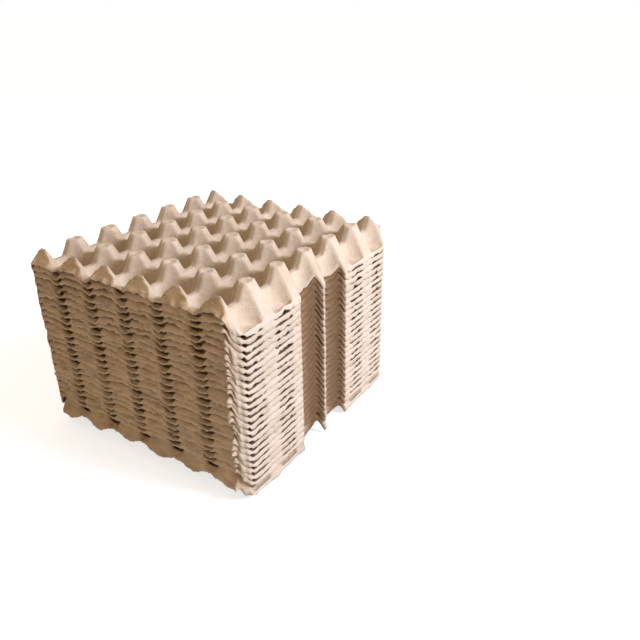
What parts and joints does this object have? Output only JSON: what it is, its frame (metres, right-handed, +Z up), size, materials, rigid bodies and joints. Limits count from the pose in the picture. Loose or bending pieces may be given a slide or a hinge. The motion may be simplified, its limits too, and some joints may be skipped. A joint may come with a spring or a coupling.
{
  "type": "stack of pulp egg trays",
  "caption": "Square stack of nested moulded-pulp egg trays: open egg-crate net of posts and cups on top, ribbed skirted sides, half cups with finger notches at two ends.",
  "frame": {"origin": "middle of the stack, on the surface that the lowest tray's feet stand on", "axes": "+Z up; X along the two skirted sides; Y along the two ends with half cups and finger notches"},
  "size_m": [0.291, 0.291, 0.224],
  "materials": {
    "pulp": "matte, fibrous"
  },
  "bodies": {
    "root": {"tray_01": "pulp", "tray_02": "pulp", "tray_03": "pulp", "tray_04": "pulp", "tray_05": "pulp", "tray_06": "pulp", "tray_07": "pulp", "tray_08": "pulp", "tray_09": "pulp", "tray_10": "pulp", "tray_11": "pulp", "tray_12": "pulp", "tray_13": "pulp", "tray_14": "pulp", "tray_15": "pulp", "tray_16": "pulp", "tray_17": "pulp", "tray_18": "pulp", "tray_19": "pulp", "tray_20": "pulp", "tray_21": "pulp", "tray_22": "pulp", "tray_23": "pulp", "tray_24": "pulp"}
  },
  "joints": []
}
